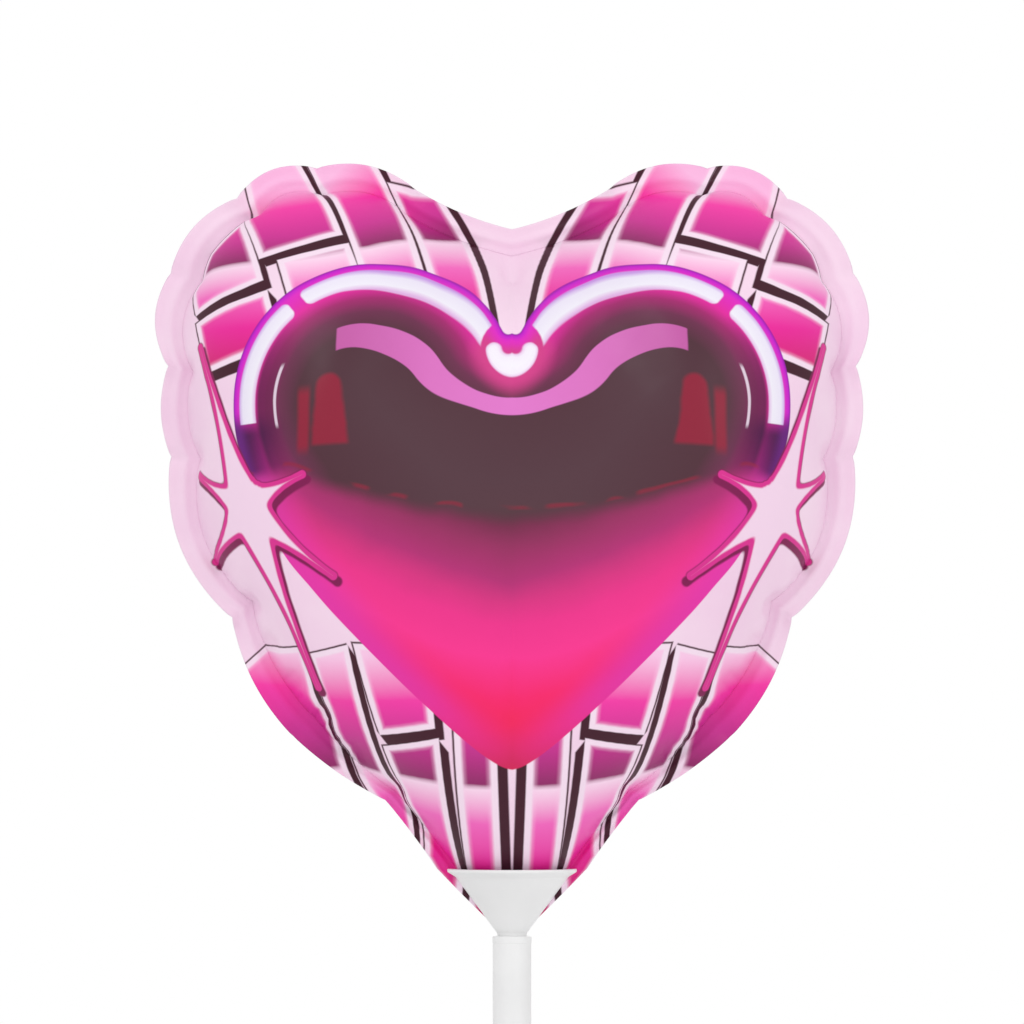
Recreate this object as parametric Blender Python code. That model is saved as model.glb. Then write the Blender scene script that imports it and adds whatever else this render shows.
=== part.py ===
"""Heart-shaped foil balloon on a cup-and-stick holder.

Metres, +Z up. The origin is the middle of the stick's lower end, the front of the balloon
faces -Y, and its two foil panels meet in the XZ plane.

A hollow stick takes the cup's spigot as a push fit. The cup is a slotted funnel: the welded
edge of the balloon's point drops into its two side slots, and the balloon's gathered tail,
with the two films of the self-sealing valve inside, runs down through the spigot.
"""

import math

import bmesh
import bpy
import numpy as np
from mathutils import Matrix

MM = 0.001

# Stick: a hollow plastic tube.
STICK_LENGTH = 180.0 * MM
STICK_RADIUS = 3.4 * MM
STICK_BORE = 2.7 * MM
STICK_CHAMFER = 0.25 * MM

# Cup: a lip, a straight cone and a spigot.
SEAT_GAP = 0.3 * MM
CUP_HEIGHT = 11.6 * MM
LIP_RADIUS = 11.5 * MM
LIP_THICKNESS = 1.2 * MM
LIP_ROUND = 0.25 * MM
CONE_TOP_RADIUS = 9.9 * MM
CONE_BOTTOM_RADIUS = 2.65 * MM
MOUTH_RADIUS = 9.3 * MM
SPIGOT_LENGTH = 12.0 * MM
SPIGOT_RADIUS = 2.6 * MM
SPIGOT_CHAMFER = 0.5 * MM
THROAT_RADIUS = 1.9 * MM
THROAT_RISE = 1.1 * MM
SLOT_WIDTH = 1.2 * MM
SLOT_DEPTH = 8.0 * MM
ROUND_STEPS = 48

# Balloon: the outline of the inflated heart from its cleft, over the right lobe, to its
# point. Each pair is the distance from the axis and the height above the point.
HALF_OUTLINE = (
    (0.0, 126.0),
    (9.0, 128.4),
    (19.0, 134.2),
    (30.0, 138.0),
    (45.0, 135.8),
    (56.5, 127.0),
    (63.0, 111.0),
    (62.6, 92.0),
    (59.6, 74.0),
    (51.5, 57.5),
    (42.0, 43.6),
    (31.0, 30.8),
    (16.0, 15.6),
    (0.0, 0.0),
)
OUTLINE_STEPS = 32
POINT_BELOW_STICK_TOP = 1.3 * MM
CENTRE_HEIGHT = 78.0 * MM
HALF_DEPTH = 28.5 * MM
FILM = 0.4 * MM
GAP = 0.3 * MM
SEAM_OFFSET = 0.55 * MM
DOME_RINGS = 9

# Welded edge, which both panels share, trimmed where the tail begins.
FLANGE_WIDTH = 3.6 * MM
FLANGE_THICKNESS = 0.6 * MM
FLANGE_TRIM = 5.6 * MM

# Tail and self-sealing valve, as layers in front of and behind the XZ plane.
TAIL_LENGTH = 19.0 * MM
TAIL_HALF_WIDTH = 1.5 * MM
TAIL_SHOULDER_HALF_WIDTH = 3.9 * MM
TAIL_SHOULDER_DROP = 3.0 * MM
TAIL_TOP_DROP = 6.3 * MM
TAIL_LAP = 3.0 * MM
TAIL_INNER = 0.55 * MM
VALVE_FILM = 0.2 * MM
VALVE_INNER = 0.15 * MM
VALVE_HALF_WIDTH = 1.3 * MM
VALVE_WIDE_HALF = 4.5 * MM
VALVE_RISE = 30.0 * MM

STICK_TOP = STICK_LENGTH
CUP_BASE = STICK_TOP + SEAT_GAP
CUP_TOP = CUP_BASE + CUP_HEIGHT
POINT_Z = STICK_TOP - POINT_BELOW_STICK_TOP
TAIL_TOP = POINT_Z + TAIL_TOP_DROP
TAIL_BOTTOM = TAIL_TOP - TAIL_LENGTH


def clear_scene():
    for thing in list(bpy.data.objects):
        bpy.data.objects.remove(thing)


def joint_empty(name, height, parent=None, parent_height=0.0):
    """An empty on a joint's axis, which carries the pieces that the joint moves."""
    empty = bpy.data.objects.new(name, None)
    bpy.context.collection.objects.link(empty)
    empty.parent = parent
    empty.location.z = height - parent_height
    return empty


def carry(empty, height, things):
    """Parents things to an empty at this height and leaves them where they are."""
    for thing in things:
        thing.parent = empty
        thing.matrix_parent_inverse = Matrix.Translation((0, 0, -height))


def plastic(name, colour, roughness, metallic=0.0):
    material = bpy.data.materials.new(name)
    material.use_nodes = True
    shader = material.node_tree.nodes["Principled BSDF"]
    shader.inputs["Base Color"].default_value = (*colour, 1.0)
    shader.inputs["Roughness"].default_value = roughness
    shader.inputs["Metallic"].default_value = metallic
    return material


def add_object(name, mesh, material, helper=False):
    """Links a finished bmesh as a named object. A helper is a cutter, which isn't a part."""
    bmesh.ops.recalc_face_normals(mesh, faces=mesh.faces)
    data = bpy.data.meshes.new(name)
    mesh.to_mesh(data)
    mesh.free()
    data.shade_smooth()
    data.set_sharp_from_angle(angle=math.radians(35))
    data.materials.append(material)
    thing = bpy.data.objects.new(name, data)
    bpy.context.collection.objects.link(thing)
    thing.hide_render = helper
    thing.display_type = "WIRE" if helper else "TEXTURED"
    return thing


def boolean(target, other, operation):
    modifier = target.modifiers.new(other.name, "BOOLEAN")
    modifier.operation = operation
    modifier.object = other
    other.hide_render = True
    other.display_type = "WIRE"


def revolved(profile):
    """A closed ring turned about Z from a closed profile of (radius, height) pairs."""
    mesh = bmesh.new()
    rings = []
    for radius, height in profile:
        angles = [2 * math.pi * i / ROUND_STEPS for i in range(ROUND_STEPS)]
        rings.append(
            [mesh.verts.new((radius * math.cos(a), radius * math.sin(a), height)) for a in angles]
        )
    for lower, upper in zip(rings, rings[1:] + rings[:1]):
        for i in range(ROUND_STEPS):
            j = (i + 1) % ROUND_STEPS
            mesh.faces.new((lower[i], lower[j], upper[j], upper[i]))
    return mesh


def block(low, high):
    mesh = bmesh.new()
    bmesh.ops.create_cube(mesh, size=1.0)
    for vert in mesh.verts:
        for k in range(3):
            vert.co[k] = low[k] if vert.co[k] < 0 else high[k]
    return mesh


def slab(corners, near, far):
    """A flat plate: a closed outline of (x, z) corners between the depths near and far."""
    mesh = bmesh.new()
    front = [mesh.verts.new((x, near, z)) for x, z in corners]
    back = [mesh.verts.new((x, far, z)) for x, z in corners]
    mesh.faces.new(front)
    mesh.faces.new(back)
    for i in range(len(corners)):
        j = (i + 1) % len(corners)
        mesh.faces.new((front[i], front[j], back[j], back[i]))
    return mesh


def smooth_through(points, steps):
    """A Catmull-Rom curve through the points, sampled at equal lengths into steps parts."""
    points = np.array(points)
    padded = np.vstack([2 * points[0] - points[1], points, 2 * points[-1] - points[-2]])
    t = np.linspace(0, 1, 40, endpoint=False)[:, None]
    dense = []
    for a, b, c, d in zip(padded, padded[1:], padded[2:], padded[3:]):
        dense.append(
            0.5 * (2 * b + (c - a) * t + (2 * a - 5 * b + 4 * c - d) * t**2
                   + (3 * b - a - 3 * c + d) * t**3)
        )
    dense = np.vstack([*dense, points[-1:]])
    lengths = np.concatenate([[0], np.cumsum(np.linalg.norm(np.diff(dense, axis=0), axis=1))])
    wanted = np.linspace(0, lengths[-1], steps + 1)
    return np.column_stack([np.interp(wanted, lengths, dense[:, k]) for k in range(2)])


def heart_outline():
    """The closed outline as (x, z), clockwise from the cleft by way of the right lobe."""
    right = smooth_through(np.array(HALF_OUTLINE) * MM, OUTLINE_STEPS)
    left = right[-2:0:-1] * (-1, 1)
    return np.vstack([right, left]) + (0, POINT_Z)


def inset(outline, distance):
    """The outline moved inwards, with mitred corners at the cleft and the point."""
    along = np.roll(outline, -1, axis=0) - outline
    along /= np.linalg.norm(along, axis=1)[:, None]
    inward = np.column_stack([along[:, 1], -along[:, 0]])
    both = inward + np.roll(inward, 1, axis=0)
    both /= np.linalg.norm(both, axis=1)[:, None]
    mitre = np.sum(both * inward, axis=1)[:, None]
    return outline + both * distance / mitre


def ring_shares():
    """How far out each ring of the dome lies, closer together towards the steep edge."""
    return [math.sin(math.pi / 2 * ring / DOME_RINGS) for ring in range(1, DOME_RINGS + 1)]


def dome_points(outline):
    """The plan of a panel: its middle, then rings of the outline drawn in towards it."""
    centre = np.array((0.0, POINT_Z + CENTRE_HEIGHT))
    rings = [centre + share * (outline - centre) for share in ring_shares()]
    return np.vstack([centre[None], *rings])


def dome_faces(count):
    """Triangles and quads over dome_points, by index, for an outline of count points."""
    faces = [(0, 1 + i, 1 + (i + 1) % count) for i in range(count)]
    for ring in range(DOME_RINGS - 1):
        first = 1 + ring * count
        for i in range(count):
            j = (i + 1) % count
            faces.append((first + i, first + j, first + count + j, first + count + i))
    return faces


def pressed_rise(points, faces, edge_start):
    """How high gas pressure lifts a film over the plan, from 0 at its edge to 1.

    A soap film's rise solves Poisson's equation. Its square root leaves the edge steeply,
    as inflated foil does, and stays low in the narrow point of the heart.
    """
    triangles = [
        (face[0], face[k], face[k + 1]) for face in faces for k in range(1, len(face) - 1)
    ]
    stiffness = np.zeros((len(points), len(points)))
    load = np.zeros(len(points))
    for triangle in triangles:
        for corner in range(3):
            i, j, k = (triangle[(corner + step) % 3] for step in range(3))
            a, b = points[i] - points[k], points[j] - points[k]
            twice_area = abs(a[0] * b[1] - a[1] * b[0])
            weight = a @ b / twice_area / 2
            stiffness[i, j] -= weight
            stiffness[j, i] -= weight
            stiffness[i, i] += weight
            stiffness[j, j] += weight
            load[i] += twice_area / 6
    rise = np.zeros(len(points))
    rise[:edge_start] = np.linalg.solve(stiffness[:edge_start, :edge_start], load[:edge_start])
    return np.sqrt(np.clip(rise, 0, None) / rise.max())


def film_dome(side, outline):
    """A dished panel of film: an outer and an inner dome, joined by a rim at the seam."""
    count = len(outline)
    outer = dome_points(outline)
    inner = dome_points(inset(outline, FILM))
    faces = dome_faces(count)
    edge_start = len(outer) - count
    rise = pressed_rise(outer, faces, edge_start)
    mesh = bmesh.new()
    skins = []
    for plan, depth in ((outer, HALF_DEPTH), (inner, HALF_DEPTH - FILM)):
        skin = [
            mesh.verts.new((x, side * (SEAM_OFFSET + depth * up), z))
            for (x, z), up in zip(plan, rise)
        ]
        for face in faces:
            mesh.faces.new([skin[i] for i in face])
        skins.append(skin)
    for i in range(count):
        a, b = edge_start + i, edge_start + (i + 1) % count
        mesh.faces.new((skins[0][a], skins[0][b], skins[1][b], skins[1][a]))
    return mesh


def tail_corners():
    """The gathered tail, from inside the balloon's point down to its open end."""
    shoulder = TAIL_TOP - TAIL_SHOULDER_DROP
    right = [
        (TAIL_SHOULDER_HALF_WIDTH / 2, TAIL_TOP + TAIL_LAP),
        (TAIL_SHOULDER_HALF_WIDTH, TAIL_TOP),
        (TAIL_HALF_WIDTH, shoulder),
        (TAIL_HALF_WIDTH, TAIL_BOTTOM),
    ]
    return right + [(-x, z) for x, z in reversed(right)]


def add_panel(name, side, outline, material):
    dome = add_object(name, film_dome(side, outline), material)
    depths = side * TAIL_INNER, side * (TAIL_INNER + FILM)
    tail = add_object(name + "_tail", slab(tail_corners(), *depths), material, helper=True)
    boolean(dome, tail, "UNION")
    return dome


def add_flange(outline, material):
    """The welded edge: the band between the outline and the panels, open at the tail."""
    inner = inset(outline, FLANGE_WIDTH)
    half = FLANGE_THICKNESS / 2
    count = len(outline)
    mesh = bmesh.new()
    loops = [
        [mesh.verts.new((x, y, z)) for x, z in loop]
        for loop, y in ((outline, -half), (outline, half), (inner, half), (inner, -half))
    ]
    for first, second in zip(loops, loops[1:] + loops[:1]):
        for i in range(count):
            j = (i + 1) % count
            mesh.faces.new((first[i], first[j], second[j], second[i]))
    flange = add_object("seam_flange", mesh, material)
    reach = LIP_RADIUS
    trim_top = POINT_Z + FLANGE_TRIM
    trim = block((-reach, -reach, POINT_Z - reach), (reach, reach, trim_top))
    boolean(flange, add_object("flange_trim", trim, material, helper=True), "DIFFERENCE")
    opening = TAIL_HALF_WIDTH + GAP
    channel = block((-opening, -reach, POINT_Z), (opening, reach, trim_top + TAIL_LAP))
    boolean(flange, add_object("tail_channel", channel, material, helper=True), "DIFFERENCE")
    return flange


def add_valve_film(name, side, material):
    """One of the two clear films that seal the tail: narrow in the tail, wide inside."""
    top = TAIL_TOP + VALVE_RISE
    right = [
        (VALVE_WIDE_HALF, top),
        (VALVE_WIDE_HALF, top - VALVE_RISE / 2),
        (VALVE_HALF_WIDTH, TAIL_TOP),
        (VALVE_HALF_WIDTH, TAIL_BOTTOM + 1.0 * MM),
    ]
    corners = right + [(-x, z) for x, z in reversed(right)]
    depths = side * VALVE_INNER, side * (VALVE_INNER + VALVE_FILM)
    return add_object(name, slab(corners, *depths), material)


def add_cup(material):
    neck = CUP_BASE
    spigot_end = STICK_TOP - SPIGOT_LENGTH
    lip_bottom = CUP_TOP - LIP_THICKNESS
    cup = revolved([
        (THROAT_RADIUS, spigot_end),
        (SPIGOT_RADIUS - SPIGOT_CHAMFER, spigot_end),
        (SPIGOT_RADIUS, spigot_end + 2 * SPIGOT_CHAMFER),
        (SPIGOT_RADIUS, neck),
        (CONE_BOTTOM_RADIUS, neck + LIP_ROUND),
        (CONE_TOP_RADIUS, lip_bottom),
        (LIP_RADIUS - LIP_ROUND, lip_bottom),
        (LIP_RADIUS, lip_bottom + LIP_ROUND),
        (LIP_RADIUS, CUP_TOP - LIP_ROUND),
        (LIP_RADIUS - LIP_ROUND, CUP_TOP),
        (MOUTH_RADIUS + LIP_ROUND, CUP_TOP),
        (MOUTH_RADIUS, CUP_TOP - LIP_ROUND),
        (THROAT_RADIUS, neck + THROAT_RISE),
    ])
    cup = add_object("cup", cup, material)
    reach = LIP_RADIUS + 2 * MM
    slot = block(
        (-reach, -SLOT_WIDTH / 2, CUP_TOP - SLOT_DEPTH),
        (reach, SLOT_WIDTH / 2, CUP_TOP + 2 * MM),
    )
    boolean(cup, add_object("cup_slot", slot, material, helper=True), "DIFFERENCE")
    return cup


def add_stick(material):
    tube = revolved([
        (STICK_BORE, 0.0),
        (STICK_RADIUS - STICK_CHAMFER, 0.0),
        (STICK_RADIUS, STICK_CHAMFER),
        (STICK_RADIUS, STICK_TOP - STICK_CHAMFER),
        (STICK_RADIUS - STICK_CHAMFER, STICK_TOP),
        (STICK_BORE, STICK_TOP),
    ])
    add_object("stick", tube, material)


def main():
    clear_scene()
    printed_foil = plastic("printed_foil", (0.87, 0.33, 0.62), 0.3, 0.2)
    pale_foil = plastic("pale_foil", (0.88, 0.66, 0.80), 0.3, 0.2)
    clear_film = plastic("clear_film", (0.90, 0.90, 0.92), 0.2)
    white_plastic = plastic("white_plastic", (0.85, 0.85, 0.85), 0.4)

    outline = heart_outline()
    panel_outline = inset(outline, FLANGE_WIDTH + GAP)
    balloon = [
        add_panel("front_panel", -1, panel_outline, printed_foil),
        add_panel("back_panel", 1, panel_outline, printed_foil),
        add_flange(outline, pale_foil),
        add_valve_film("valve_film_front", -1, clear_film),
        add_valve_film("valve_film_back", 1, clear_film),
    ]
    cup = add_cup(white_plastic)
    add_stick(white_plastic)

    twist = joint_empty("cup_twist", CUP_BASE)
    pull = joint_empty("balloon_pull", CUP_TOP, twist, CUP_BASE)
    carry(twist, CUP_BASE, [cup])
    carry(pull, CUP_TOP, balloon)


main()
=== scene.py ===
import math

import bmesh
import bpy
import numpy as np
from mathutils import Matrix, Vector


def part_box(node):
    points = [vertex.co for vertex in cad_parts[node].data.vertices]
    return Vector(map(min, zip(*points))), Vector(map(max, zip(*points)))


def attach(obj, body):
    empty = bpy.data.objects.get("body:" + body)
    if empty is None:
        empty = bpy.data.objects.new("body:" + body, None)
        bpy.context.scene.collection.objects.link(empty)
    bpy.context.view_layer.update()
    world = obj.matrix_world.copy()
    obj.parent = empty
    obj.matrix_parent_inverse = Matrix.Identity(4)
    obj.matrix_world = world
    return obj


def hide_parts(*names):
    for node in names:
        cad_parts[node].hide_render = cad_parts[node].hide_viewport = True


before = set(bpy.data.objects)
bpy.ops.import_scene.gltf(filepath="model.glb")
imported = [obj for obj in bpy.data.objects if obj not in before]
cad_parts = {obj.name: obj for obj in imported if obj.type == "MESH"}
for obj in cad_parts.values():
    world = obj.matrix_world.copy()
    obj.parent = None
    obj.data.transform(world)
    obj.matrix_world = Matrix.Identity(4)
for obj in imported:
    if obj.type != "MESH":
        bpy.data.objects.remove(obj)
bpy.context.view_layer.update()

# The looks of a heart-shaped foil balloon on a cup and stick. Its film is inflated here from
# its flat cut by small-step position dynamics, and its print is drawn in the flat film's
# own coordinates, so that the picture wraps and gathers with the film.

MM = 0.001

# ---------------------------------------------------------------- sizes

CUP_LOW, CUP_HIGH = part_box("cup")
LIP_RADIUS = CUP_HIGH[0]
CUP_TOP = CUP_HIGH[2]
STICK_RADIUS, _, STICK_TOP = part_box("stick")[1]

# The height of the balloon's point, a little way into the cup's neck.
POINT_Z = STICK_TOP - 1.3 * MM

# The inflated balloon's right half in mm, from the cleft to the point, a row per scallop of
# its edge: seam x and height above the point, flange edge x and height, how far the scallop
# bulges, and how much longer the film is there than the seam that it is gathered into.
SCALLOPS = (
    (0.0, 121.5, 0.0, 126.2, -0.8, 1.0),
    (18.5, 128.6, 17.5, 133.5, 2.3, 1.1),
    (33.5, 132.0, 34.5, 136.9, 2.6, 1.2),
    (44.8, 127.8, 48.6, 131.6, 2.4, 1.25),
    (54.8, 116.8, 60.3, 118.4, 2.6, 1.25),
    (56.2, 101.0, 60.7, 102.0, 1.6, 1.25),
    (54.9, 85.6, 60.2, 86.0, 4.2, 1.2),
    (45.8, 60.5, 49.4, 57.6, 1.9, 1.15),
    (35.0, 40.2, 38.6, 36.6, 0.8, 1.12),
    (20.6, 27.0, 22.4, 25.4, -0.2, 1.08),
    (9.5, 13.0, 13.2, 13.2, 0.1, 1.05),
    (0.0, 3.0, 3.0, 3.0, 0.0, 1.0),
)

# The seam of the flat film in mm, right half, from the cleft to the point.
FLAT_SEAM = (
    (0.0, 119.5),
    (9.0, 124.0),
    (21.0, 133.5),
    (35.0, 138.5),
    (51.0, 134.5),
    (62.5, 121.0),
    (67.5, 103.5),
    (67.0, 85.5),
    (62.5, 66.5),
    (53.5, 49.0),
    (40.5, 31.5),
    (24.5, 14.5),
    (10.0, 1.0),
    (0.0, -7.5),
)
FLANGE_WIDTH = 4.6
PLEAT_DEPTH = 0.9
PLEAT_REACH = 1.6
WELD_RISE = 0.35
FILM_SCALE = 100.0
FILM = 0.1 * MM

# The gathered neck in mm: height above the point, half width, half depth, depth of pleats.
TAIL_RINGS = (
    (8.5, 5.6, 0.9, 0.0),
    (6.5, 4.6, 0.9, 0.02),
    (4.5, 3.4, 1.0, 0.05),
    (2.5, 2.2, 1.1, 0.09),
    (0.5, 1.5, 1.15, 0.12),
    (-4.0, 1.35, 1.15, 0.13),
    (-9.0, 1.4, 1.0, 0.1),
    (-12.5, 1.55, 0.6, 0.05),
)

# The picture on the film, in mm on the flat film, right half.
HEART_TIP = (0.0, 25.0)
HEART_LOBE = (24.7, 92.4)
HEART_RADIUS = 25.4
HEART_FULLNESS = 4.4
DIP_RADIUS = 2.2
GLINT_DROP = 2.0
GLINT_RADIUS = 3.7
GLINT_TURN = math.radians(80)
GLINT_THICKNESS = 2.1
GLINT_TAPER = 0.2
HIGHLIGHT_DEPTH = 3.05
HIGHLIGHT_THICKNESS = 1.7
HIGHLIGHT_FOOT = 89.1
HIGHLIGHT_GAP = 1.3
HIGHLIGHT_GAP_ACROSS = (-0.809, 0.588)
RIBBON_END = 30.8
PATCH_X = 32.0
PATCH_TOP = 96.7
PATCH_HEIGHT = 12.3
ARC_DEPTH = 8.6
HORIZON = 72.3
HORIZON_BEND = 0.0059

# The sparkle's middle, and for each spike its tip from there and its width at the middle.
STAR_MIDDLE = (48.0, 74.1)
STAR_TIPS = (
    (10.6, 31.9, 4.2),
    (-11.8, 5.4, 5.0),
    (-17.2, -12.8, 4.6),
    (-12.3, -35.1, 4.4),
    (12.6, -12.1, 4.6),
    (14.2, 6.1, 4.6),
)
STAR_DROP = (-0.75, -1.0)

# The slanted blocks' corners, anticlockwise, and how far their dark sides drop.
BLOCK_DROP = (-1.3, -1.7)
BLOCKS = (
    ((3.6, 97.0), (9.4, 97.0), (17.6, 134.0), (9.6, 131.0)),
    ((13.8, 104.0), (22.5, 105.0), (34.0, 150.0), (22.0, 143.0)),
    ((25.4, 109.0), (37.0, 107.0), (40.6, 119.4), (29.2, 121.4)),
    ((30.8, 125.4), (44.6, 122.4), (48.2, 134.0), (41.6, 152.0), (38.4, 152.0)),
    ((41.8, 103.4), (56.4, 101.4), (58.4, 110.4), (44.2, 113.0)),
    ((45.6, 117.2), (59.0, 114.2), (60.6, 119.0), (56.6, 127.0), (49.6, 131.0)),
    ((2.4, -14.0), (6.6, -12.0), (8.2, 34.0), (3.4, 30.0)),
    ((10.2, -6.0), (16.4, 1.0), (21.6, 28.0), (12.8, 31.0)),
    ((13.6, 35.0), (22.4, 32.4), (26.2, 48.0), (14.6, 48.0)),
    ((20.4, -2.0), (28.0, 6.0), (35.6, 45.4), (29.4, 47.4)),
    ((32.4, 8.0), (47.0, 20.0), (58.0, 37.0), (49.4, 43.4), (39.4, 46.0)),
)

# Colours by height on the film, by depth inside the heart, by distance from the middle line,
# by depth inside the heart again, by distance from the glint's middle line, and by depth below
# the horizon.
BLOCK_FILL = (
    (-14, "C81E5E"), (4, "E9269A"), (14, "F268BE"), (21.4, "FAD8EE"), (22.2, "8E2C66"),
    (30, "C93291"), (38, "F33BA6"), (47, "F9C6E6"), (60, "F9C6E6"), (100, "D0206B"),
    (108, "E9269A"), (115, "F268BE"), (121.4, "FAD8EE"), (122.2, "8E2C66"), (127, "C93291"),
    (134, "F33BA6"), (141, "F7B9E0"),
)
HEART_INSIDE = (
    (0, "8E12A0"), (0.5, "C41FC8"), (1.3, "DD2AC0"), (4.9, "DF2A9C"), (7.0, "A02A6C"),
    (9.6, "6C304E"), (13, "50303A"), (26, "543841"), (40, "573A42"),
)
RIBBON = ((0, "DD77C7"), (14, "D772BE"), (31, "C05CA3"))
HIGHLIGHT = ((1.2, "C79AE2"), (2.1, "E9E2F3"), (3.9, "EEEAF5"), (4.9, "DDB0E0"))
GLINT = ((0, "F4F0F8"), (1.5, "F2EAF6"), (2.3, "E2B8E4"))
HEART_GLOW = (
    (0, "50303A"), (3, "762C4C"), (7, "962F60"), (12, "B02F72"), (16, "D4327F"), (20, "EA328A"),
    (26, "F5358F"), (33, "F3256C"), (39, "EE2256"), (46, "CF2348"),
)

# The view: its distance, its height, and the width that it takes in.
CAMERA_DISTANCE = 3.0
CAMERA_HEIGHT = 0.25492
FRAME_SIDE = 0.18094
SENSOR = 36.0
AMBIENT = 0.82

# The cup and the stick.
STICK_BORE = 2.7 * MM
STICK_BAND = 1.3 * MM
STICK_BAND_RISE = 0.06 * MM
SEAT_GAP = 0.3 * MM
LIP_THICKNESS = 1.45 * MM
CONE_HEAD = 10.0 * MM
CONE_FOOT = 2.65 * MM
SPIGOT_RADIUS = 2.6 * MM
SPIGOT_BORE = 1.9 * MM
SLOT_WIDTH = 1.2 * MM
SLOT_DEPTH = 8.0 * MM

# The film grid: rings from the middle to the seam, sectors along half the seam, and columns
# past both mirror lines so that the film carries on across them.
RINGS = 60
SECTORS = 240
MARGIN = 8
POLE = 74.0
INFLATION_STEPS = 900
EVENING_STEPS = 90
PRESSURE = 0.004
DAMPING = 0.02

# How far from the seam, in mm, the film is shortened into gathers, pushes back when it is
# pushed together, and bends freely.
GATHER_REACH = 18.0
CRUMPLE_REACH = 14.0
BEND_REACH = 16.0

# The polynomials that smooth the film's middle, in its plane and in depth: their order, the
# distances from the pole in mm between which they are fitted, and those between which the
# film itself takes over from them.
PLANE_FIT = (6, 5, 34, 14, 30)
DEPTH_FIT = (3, 28, 46, 30, 45)

# ---------------------------------------------------------------- the film's simulation


def distance_along(points):
    steps = np.linalg.norm(np.diff(points, axis=0), axis=1)
    return np.concatenate([[0], np.cumsum(steps)])


def smooth_through(points):
    """A dense Catmull-Rom curve through the points."""
    points = np.array(points, float)
    padded = np.vstack([2 * points[0] - points[1], points, 2 * points[-1] - points[-2]])
    t = np.linspace(0, 1, 60, endpoint=False)[:, None]
    dense = []
    for a, b, c, d in zip(padded, padded[1:], padded[2:], padded[3:]):
        dense.append(
            0.5 * (2 * b + (c - a) * t + (2 * a - 5 * b + 4 * c - d) * t**2
                   + (3 * b - a - 3 * c + d) * t**3)
        )
    return np.vstack([*dense, points[-1:]])


def scalloped(rows, bulges, counts):
    """A curve through the rows that bulges outwards between them, count samples on each."""
    parts = []
    for start, end, bulge, count in zip(rows, rows[1:], bulges, counts):
        t = np.arange(count)[:, None] / count
        chord = end - start
        outward = np.array([-chord[1], chord[0]]) / np.linalg.norm(chord)
        parts.append(start + chord * t + outward * bulge * np.sin(math.pi * t) ** 0.8)
    return np.vstack([*parts, rows[-1:]])


def mirrored(half):
    """The half film with its mirror images in the margins. The first coordinate flips."""
    flip = np.ones(half.shape[-1])
    flip[0] = -1
    before = half[:, MARGIN:0:-1] * flip
    after = half[:, -2:-2 - MARGIN:-1] * flip
    return np.concatenate([before, half, after], axis=1)


def seam_curves():
    """The inflated seam, the flange's edge and the flat seam, sampled alike, and how far
    along its scallop each sample lies, 0 at a notch and nearly 1 just before the next."""
    rows = np.array(SCALLOPS)
    bulges = rows[:, 4]
    spans = np.linalg.norm(np.diff(rows[:, :2], axis=0), axis=1)
    counts = np.maximum(4, np.round(spans / spans.sum() * SECTORS)).astype(int)
    seam = scalloped(rows[:, :2], bulges, counts)
    edge = scalloped(rows[:, 2:4], bulges, counts)
    gather = np.repeat(rows[:-1, 5], counts)
    for _ in range(6):
        gather = np.convolve(np.pad(gather, 4, mode="edge"), np.ones(9) / 9, "valid")
    film = np.concatenate([[0], np.cumsum(np.diff(distance_along(seam)) * gather)])
    dense = smooth_through(FLAT_SEAM)
    along = distance_along(dense)
    wanted = film / film[-1] * along[-1]
    flat_seam = np.column_stack([np.interp(wanted, along, dense[:, k]) for k in range(2)])
    t = np.concatenate([np.arange(count) / count for count in counts] + [[0.0]])
    return seam, edge, flat_seam, t


def film_grid(seam, flat_seam, t):
    """The flat film and the film as it starts, as rings by columns of points."""
    share = 1 - (1 - np.arange(RINGS + 1) / RINGS) ** 1.25
    share = share[:, None, None]
    centre = np.array([0.0, POLE])
    flat = centre + share * (flat_seam - centre)
    start = centre + share * (seam - centre)
    from_seam = np.linalg.norm(flat_seam - flat, axis=-1)
    dome = np.sqrt(np.clip(1 - share[..., 0] ** 2, 0, 1))
    near_seam = np.exp(-from_seam / 10) * np.sqrt(np.clip(1 - share[..., 0] ** 8, 0, 1))
    height = 26 * dome + 1.2 * np.sin(math.pi * t) ** 2 * near_seam
    film = np.dstack([start[..., 0], height, start[..., 1]])
    return flat, film, from_seam


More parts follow.
